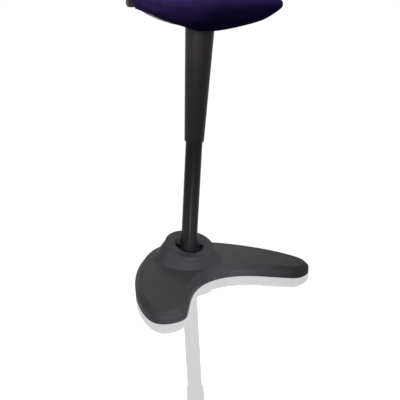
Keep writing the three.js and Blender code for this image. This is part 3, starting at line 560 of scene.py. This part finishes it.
def columnTube():
    t = tubeShape
    inner = t["radius"] - t["wall"]
    corners = [(t["stemHole"], t["foot"]), (t["footRadius"], t["foot"]),
               (t["radius"], t["foot"] + t["taperHeight"]), (t["radius"], t["top"]), (inner, t["top"]),
               (inner, t["foot"] + t["floor"]), (t["stemHole"], t["foot"] + t["floor"])]
    radii = [0, t["footRound"], t["taperRound"], t["topRound"], t["topRound"], 0, 0]
    return turned("column_tube", corners, radii, t["segments"], columnPlace)


def columnCover():
    c = coverShape
    rim = tubeShape["top"] - c["lap"]
    top = seatStart + c["rise"]
    floorHigh = seatStart - c["clearance"]
    floorLow = floorHigh - c["floor"]
    slope = (c["topRadius"] - c["rimRadius"]) / (top - rim)

    def inside(height):
        return c["rimRadius"] + slope * (height - rim) - c["wall"]

    wiperLow = rim + c["lip"]
    lipHigh = wiperLow - c["clearance"]
    corners = [(c["lipBore"], rim), (c["rimRadius"], rim), (c["topRadius"], top), (inside(top), top),
               (inside(floorHigh), floorHigh), (c["stem"], floorHigh), (c["stem"], floorLow),
               (inside(floorLow), floorLow), (c["bore"], wiperLow + c["wiperHeight"] * 2),
               (c["bore"], lipHigh), (c["lipBore"], lipHigh)]
    radii = [0, c["lipRound"], c["topRound"]] + [0] * 8
    return turned("column_cover", corners, radii, c["segments"], columnPlace)


dress(columnTube(), tubeCoat, "outer_tube")
dress(columnCover(), satinAbs, "tapered_cover")
print("stool: column turned")


# The seat form, shared by the cushion, the rear shell and the tail cover

seatShape = {
    "halfWidth": 188, "halfDepth": 168, "forward": 19, "squareness": 4.5, "rim": 83, "dish": 98, "rearRise": 24,
    "sideRise": 8, "noseDrop": 4, "roll": 15, "tuck": 13,
    "around": 144, "upright": 25, "samples": 7200,  # points round it, rows from middle to rim, points to measure it
}
hullShares = {"cone": 0.75, "conePower": 1.4, "turnPower": 10, "tuckSpan": (0.2, 0.92), "rearTurn": (0.05, 0.55),
              "cheekSpan": (0.72, 0.84, 0.93, 1.0), "cheekTurn": (0.15, 0.45),
              "noseSpan": (0.72, 0.91, 0.94, 1.0), "noseTurn": (-0.3, 0.4)}
panShape = {"inset": 9, "setback": 49, "top": 58, "wall": 3, "holeRadius": 42.9, "holeSides": 96}
leverShape = {"roomWidth": 30, "pivot": 34, "low": 34}
shellShape = {"wrap": 71, "bottom": 55, "top": 88, "wall": 4, "depth": 24, "edge": 8, "edgeSteps": 6, "bevel": 1.2,
              "bevelSteps": 3}
gripShape = {"width": 116, "height": 18, "low": 63, "depth": 46, "overrun": 12}
tailShape = {"drop": 20, "thickness": 3.5, "start": 14, "flare": math.radians(31), "top": 50, "bevel": 0.8,
             "bevelSteps": 2}
cushionShape = {
    "voxel": 5, "draft": 1.5, "cap": 4.0, "pressure": 4.0, "frames": 20, "skinDepth": 2.5,
    "cheek": 8, "nose": 4,  # how far the cloth hangs lower beside the tail cover, and is drawn up under the nose
}
seatGap = 0.3  # between pieces that touch
seatRear = seatShape["halfDepth"] - seatShape["forward"]
panRear = seatRear - panShape["setback"]
shellSide = seatRear - shellShape["wrap"]
wide = 400  # past the seat on every side, for a cut that goes right through


def seatLoop(inset):  # the rim's outline, evenly spaced, and how far each point's bearing turns to the rear
    s = seatShape
    angle = np.linspace(0, 2 * math.pi, s["samples"] + 1)
    c, n = np.cos(angle), np.sin(angle)
    power = 2 / s["squareness"]
    x = np.sign(c) * np.abs(c) ** power * (s["halfWidth"] - inset)
    y = np.sign(n) * np.abs(n) ** power * (s["halfDepth"] - inset)
    run = np.concatenate([[0], np.cumsum(np.hypot(np.diff(x), np.diff(y)))])
    even = np.arange(s["around"]) * run[-1] / s["around"]
    return np.interp(even, run, x), np.interp(even, run, y), np.sin(np.interp(even, run, angle))


def bulge(share, span):  # up to 1 and back to 0
    inner, full, fade, outer = span
    return smoothStep(share, inner, full) * (1 - smoothStep(share, fade, outer))


def hullHeight(share, rearward, drop, cheek, nose):
    h = hullShares
    cone = h["cone"] * share ** h["conePower"]
    turn = (1 - h["cone"]) * (1 - math.sqrt(1 - share ** h["turnPower"]))
    low, high = h["tuckSpan"]
    bump = math.sin(math.pi * min(max((share - low) / (high - low), 0), 1))
    tuck = seatShape["tuck"] * smoothStep(rearward, *h["rearTurn"])
    lower = cheek * bulge(share, h["cheekSpan"]) * smoothStep(rearward, *h["cheekTurn"])
    higher = nose * bulge(share, h["noseSpan"]) * smoothStep(-rearward, *h["noseTurn"])
    return seatShape["rim"] * (cone + turn) + (tuck - drop) * bump - lower + higher


def sittingHeight(x, y):
    s = seatShape
    rear = smoothStep(y, 0, s["halfDepth"]) * s["rearRise"]
    side = (x / s["halfWidth"]) ** 2 * s["sideRise"]
    nose = smoothStep(-y, s["halfDepth"] / 2, s["halfDepth"]) * s["noseDrop"]
    return s["dish"] + rear + side - nose


def seatForm(inset, drop=0, name="seat_form", lift=0, cheek=0, nose=0):
    s = seatShape
    x, y, rearward = seatLoop(inset)
    turns = np.linspace(0, math.pi / 2, s["upright"] + 1)[1:-1]

    def row(share, heights):
        return np.column_stack([x * share, y * share - s["forward"], heights + lift])

    rows = [row(0, np.full(len(x), float(inset)))]
    for share in np.sin(turns):
        rows.append(row(share, inset + hullHeight(share, rearward, drop, cheek, nose) * (1 - inset / s["rim"])))
    rows.append(row(1, np.full(len(x), float(s["rim"]))))
    for share in np.cos(turns):
        run = (1 - share) * min(s["halfWidth"], s["halfDepth"])
        roll = math.sqrt(1 - (1 - min(1, run / s["roll"])) ** 2)
        over = np.maximum(0, sittingHeight(x * share, y * share) - inset - s["rim"])
        rows.append(row(share, s["rim"] + over * roll))
    rows.append(row(0, np.full(len(x), float(s["dish"] - inset))))
    return Skin().grid(rows, closed=True).make(name, seatPlace)


def shellForm(inset):
    s, c = seatShape, shellShape
    low = c["bottom"] - c["edge"] / 2
    high = c["top"] + c["edge"]
    arc = np.linspace(0, math.pi / 2, c["edgeSteps"] + 1)
    steps = [(c["edge"] * (1 - math.sin(a)), low + c["edge"] * 2 * (1 - math.cos(a))) for a in arc]
    rows = []
    for drawnIn, height in [*steps, (0, high)]:
        x, y, _ = seatLoop(inset + drawnIn)
        rows.append(np.column_stack([x, y - s["forward"], np.full(len(x), float(height))]))
    below, above = [np.tile((0.0, -s["forward"], height), (s["around"], 1)) for height in (low, high)]
    return Skin().grid([below, *rows, above], closed=True).make("shell_form", seatPlace)


def rearRoom(reach, low, high, margin):
    return block((-wide, wide), (reach - margin, wide), (low - margin, high + margin), seatPlace)


def gripRoom(margin):
    g = gripShape
    half = g["width"] / 2 + margin
    rear = seatRear + g["overrun"]
    front = rear - g["depth"] - g["overrun"]
    return block((-half, half), (front, rear), (g["low"] - margin, g["low"] + g["height"] + margin), seatPlace)


def leverRoom():
    half = leverShape["roomWidth"] / 2
    heights = (leverShape["low"], panShape["top"] - panShape["wall"])
    return block((-half, half), (leverShape["pivot"], wide), heights, seatPlace)


def panRoom(margin):
    p = panShape
    space = block((-wide, wide), (-wide, panRear + margin), (-wide, p["top"] + margin), seatPlace)
    return carve(seatForm(p["inset"] - margin), space, "INTERSECT")


def tailWedge(margin, top):
    t = tailShape
    start = t["start"] - margin / math.cos(t["flare"])
    rear = panRear + margin
    half = (rear - start) / math.tan(t["flare"])
    corners = [(0, start), (half, rear), (-half, rear)]
    rows = [[(x, y, h) for x, y in corners] for h in (-seatShape["rim"], top + margin)]
    middle = (0, (start + rear) / 2)
    rows = [[(*middle, -seatShape["rim"])] * 3, *rows, [(*middle, top + margin)] * 3]
    return Skin().grid(rows, closed=True).make("tail_wedge", seatPlace)


def columnHole(radius, low, high):
    sides = panShape["holeSides"]
    angles = np.arange(sides) * math.pi * 2 / sides
    rows = [[(radius * math.cos(a), radius * math.sin(a), h) for a in angles] for h in (low, high)]
    rows = [[(0, 0, low)] * sides, *rows, [(0, 0, high)] * sides]
    return Skin().grid(rows, closed=True).make("column_hole", seatPlace)


def rearShell():
    s = shellShape
    room = rearRoom(shellSide, s["bottom"], s["top"], 0)
    shell = carve(shellForm(0), room, "INTERSECT")
    shell.name = "rear_bumper"
    carve(shell, seatForm(s["depth"]))
    carve(shell, panRoom(seatGap))
    hollow = rearRoom(panRear + s["wall"], s["bottom"] + s["wall"], s["top"] - s["wall"], -seatGap)
    cavity = carve(shellForm(s["wall"]), hollow, "INTERSECT")
    carve(cavity, gripRoom(s["wall"]))
    carve(shell, cavity)
    carve(shell, gripRoom(0))
    softenEdges(shell, s["bevel"], s["bevelSteps"])
    return shell


def tailCover():
    t = tailShape
    cover = carve(seatForm(0, t["drop"]), tailWedge(0, t["top"]), "INTERSECT")
    cover.name = "tail_tray"
    inside = carve(seatForm(0, t["drop"], lift=t["thickness"]), tailWedge(-t["thickness"], t["top"]), "INTERSECT")
    carve(cover, inside)
    carve(cover, panRoom(seatGap))
    carve(cover, columnHole(panShape["holeRadius"], -wide, wide))
    carve(cover, leverRoom())
    belowShell = block((-wide, wide), (0, panRear), (-wide, shellShape["bottom"] - seatGap), seatPlace)
    carve(cover, belowShell, "INTERSECT")
    softenEdges(cover, t["bevel"], t["bevelSteps"])
    return cover


dress(rearShell(), glassFilledNylon, "rear_shell")
dress(tailCover(), paleAbs, "tail_cover")
print("stool: seat shells made")


# The upholstered cushion: foam under cloth, blown up a little against its skin

def seatCushion():
    c = cushionShape
    draft = c["draft"]
    cushion = seatForm(draft, name="seat_upholstery", cheek=c["cheek"], nose=c["nose"])
    corners, faces = cushion.data.vertices, cushion.data.polygons
    skin = BVHTree.FromPolygons([corner.co for corner in corners], [tuple(face.vertices) for face in faces])
    carve(cushion, panRoom(seatGap))
    carve(cushion, columnHole(panShape["holeRadius"], -wide, panShape["top"]))
    carve(cushion, tailWedge(seatGap, panShape["top"]))
    carve(cushion, rearRoom(panRear, -wide, shellShape["bottom"], seatGap))
    band = rearRoom(shellSide, shellShape["bottom"], shellShape["top"], seatGap)
    carve(band, seatForm(shellShape["depth"] + seatGap))
    carve(cushion, band)
    carve(cushion, gripRoom(seatGap))
    remesh = cushion.modifiers.new("cloth_mesh", "REMESH")
    remesh.mode = "VOXEL"
    remesh.voxel_size = c["voxel"] * mm
    remesh.use_smooth_shade = True
    settle(cushion)
    start = np.array([v.co for v in cushion.data.vertices])
    held = cushion.vertex_groups.new(name="held")
    for vertex in cushion.data.vertices:
        if skin.find_nearest(vertex.co)[3] > c["skinDepth"] * mm:
            held.add([vertex.index], 1.0, "REPLACE")
    cloth = cushion.modifiers.new("cloth", "CLOTH")
    cloth.settings.use_pressure = True
    cloth.settings.uniform_pressure_force = c["pressure"]
    cloth.settings.effector_weights.gravity = 0
    cloth.settings.vertex_group_mass = held.name
    for number in range(1, c["frames"] + 1):
        bpy.context.scene.frame_set(number)
    graph = bpy.context.evaluated_depsgraph_get()
    blown = np.array([v.co for v in cushion.evaluated_get(graph).data.vertices])
    cushion.modifiers.clear()
    cushion.vertex_groups.clear()
    move = blown - start
    length = np.linalg.norm(move, axis=1)[:, None]
    move *= np.minimum(1, c["cap"] * mm / np.maximum(length, 1e-9))
    cushion.data.vertices.foreach_set("co", (start + move).ravel())
    bpy.context.scene.frame_set(1)
    finer = cushion.modifiers.new("finer", "SUBSURF")
    finer.levels = 1
    settle(cushion)
    cushion.data.shade_smooth()
    return cushion


cushion = dress(seatCushion(), violetCloth, "seat_cushion")
print("stool: cushion upholstered")


# The other nodes keep their mesh

nodeFinish = {
    "base_plate": phosphatedSteel, "bush_housing": phosphatedSteel, "taper_socket": phosphatedSteel,
    "rod_clip": phosphatedSteel, "pressure_cylinder": phosphatedSteel, "seat_plate": phosphatedSteel,
    "release_lever": phosphatedSteel, "thrust_bearing": chromedSteel, "piston_rod": chromedSteel,
    "piston_nut": chromedSteel, "release_pin": chromedSteel, "lever_pin": chromedSteel,
    "rubber_bush": naturalRubber, "wiper_ring": naturalRubber, "guide_bush": whiteAcetal, "piston": whiteAcetal,
    "rod_gland": whiteAcetal, "seat_pan": panPolypropylene, "lever_paddle": glassFilledNylon,
}
for name, node in frame["nodes"].items():
    finish = nodeFinish.get(name)
    if finish is None and name.startswith("foot_pad"):
        finish = naturalRubber
    elif finish is None and ("screw" in name or "bolt" in name):
        finish = phosphatedSteel
    if finish is None:
        continue
    node.data.materials.clear()
    node.data.materials.append(finish)
    shadeSmooth(node, sharp=35)
print("stool: other nodes finished")


# Floor, light and camera

stageLook = {"floorSize": 60, "reflection": 0.43, "mirrorRoughness": 0.03, "shadowShare": 0.15, "glow": 1.18,
             "bounce": 0.2, "world": 0.08}


def paleShare(tree):  # 1 for the camera and for what a glossy or clear surface mirrors, 0 for the light on the object
    path = addNode(tree, "ShaderNodeLightPath")
    share = path.outputs["Is Camera Ray"]
    for kind in ("Is Glossy Ray", "Is Transmission Ray"):
        either = addNode(tree, "ShaderNodeMath", {"operation": "MAXIMUM"}, {0: share, 1: path.outputs[kind]})
        share = either.outputs[0]
    return share


def stageFloor():
    half = stageLook["floorSize"] / 2 / mm
    floor = Skin().grid([[(-half, -half, 0), (half, -half, 0)], [(-half, half, 0), (half, half, 0)]]).make("floor")
    material = bpy.data.materials.new("white_studio_floor")  # gloss-painted board: white, with a faint clear mirror
    material.use_nodes = True
    tree = material.node_tree
    tree.nodes.clear()
    glow = addNode(tree, "ShaderNodeEmission", {"Color": (1, 1, 1, 1), "Strength": stageLook["glow"]})
    matt = addNode(tree, "ShaderNodeBsdfDiffuse", {"Color": (1, 1, 1, 1)})
    mirror = addNode(tree, "ShaderNodeBsdfAnisotropic",
                     {"Color": (1, 1, 1, 1), "Roughness": stageLook["mirrorRoughness"]})
    lit = addNode(tree, "ShaderNodeMixShader", {0: stageLook["shadowShare"]},
                  {1: glow.outputs[0], 2: matt.outputs[0]})
    seen = addNode(tree, "ShaderNodeMixShader", {0: stageLook["reflection"]},
                   {1: lit.outputs[0], 2: mirror.outputs[0]})
    plain = addNode(tree, "ShaderNodeBsdfDiffuse", {"Color": (stageLook["bounce"],) * 3 + (1,)})
    surface = addNode(tree, "ShaderNodeMixShader",
                      links={0: paleShare(tree), 1: plain.outputs[0], 2: seen.outputs[0]})
    addNode(tree, "ShaderNodeOutputMaterial", links={"Surface": surface.outputs[0]})
    floor.data.materials.append(material)


def studioWorld():  # white to the camera and in mirrored light, dim in the light that it gives
    world = bpy.data.worlds.new("studio")
    bpy.context.scene.world = world
    world.use_nodes = True
    tree = world.node_tree
    tree.nodes.clear()
    strength = addNode(tree, "ShaderNodeMapRange", {"To Min": stageLook["world"], "To Max": 1.0},
                       {"Value": paleShare(tree)})
    shade = addNode(tree, "ShaderNodeBackground", {"Color": (1, 1, 1, 1)}, {"Strength": strength.outputs["Result"]})
    addNode(tree, "ShaderNodeOutputWorld", links={"Surface": shade.outputs[0]})


lamps = {  # metres, watts, and degrees let through by the grid before the lamp; two don't show as highlights
    "overhead": {"place": (0, 0, 3), "target": (0, 0, 0), "size": 1.4, "watts": 18, "spread": 180, "tint": "#ffffff"},
    "seatKey": {"place": (-2.0, -0.95, 1.45), "target": (-0.1, 0, 0.95), "size": 0.7, "watts": 1.85, "spread": 23,
                "tint": "#fff4ec"},
    "rim": {"place": (1.6, 2.0, 1.8), "target": (0, 0, 0.3), "size": 1.4, "watts": 9, "spread": 180,
            "tint": "#ffffff"},
    "front": {"place": (-1.4, -2.0, 0.75), "target": (0, -0.08, 0.03), "size": 0.35, "watts": 1.2, "spread": 17,
              "tint": "#eeeeff"},
    "back": {"place": (0.6, 2.4, 0.8), "target": (0, 0.1, 0.85), "size": 0.8, "watts": 1.8, "spread": 26,
             "tint": "#ffffff", "mirrored": False},
    "right": {"place": (2.4, 0.3, 0.8), "target": (0, 0, 0.85), "size": 0.8, "watts": 1.7, "spread": 26,
              "tint": "#ffffff", "mirrored": False},
    "seatFill": {"place": (-1.5, -1.9, 0.95), "target": (-0.03, 0, 0.98), "size": 0.6, "watts": 0.3, "spread": 24,
                 "tint": "#b4bcff"},
}


def aimed(obj, place, target):
    obj.location = place
    obj.rotation_euler = (Vector(target) - Vector(place)).to_track_quat("-Z", "Y").to_euler()


for name, lamp in lamps.items():
    light = bpy.data.lights.new(name, "AREA")
    light.shape = "DISK"
    light.size = lamp["size"]
    light.energy = lamp["watts"]
    light.spread = math.radians(lamp["spread"])
    light.color = linearColour(lamp["tint"])[:3]
    stand = bpy.data.objects.new(name, light)
    bpy.context.scene.collection.objects.link(stand)
    stand.visible_glossy = lamp.get("mirrored", True)
    aimed(stand, lamp["place"], lamp["target"])

cameraShape = {"place": (-1.09866, -1.47088, 0.79338), "down": 17.111, "turn": -37.922, "lens": 55.8, "sensor": 36}
lens = bpy.data.cameras.new("camera")
lens.sensor_width = cameraShape["sensor"]
lens.lens = cameraShape["lens"]
camera = bpy.data.objects.new("camera", lens)
bpy.context.scene.collection.objects.link(camera)
camera.location = cameraShape["place"]
camera.rotation_euler = (math.radians(90 - cameraShape["down"]), 0, math.radians(cameraShape["turn"]))
bpy.context.scene.camera = camera
bpy.context.scene.view_settings.view_transform = "Standard"
stageFloor()
studioWorld()
print("stool: stage, light and camera set")
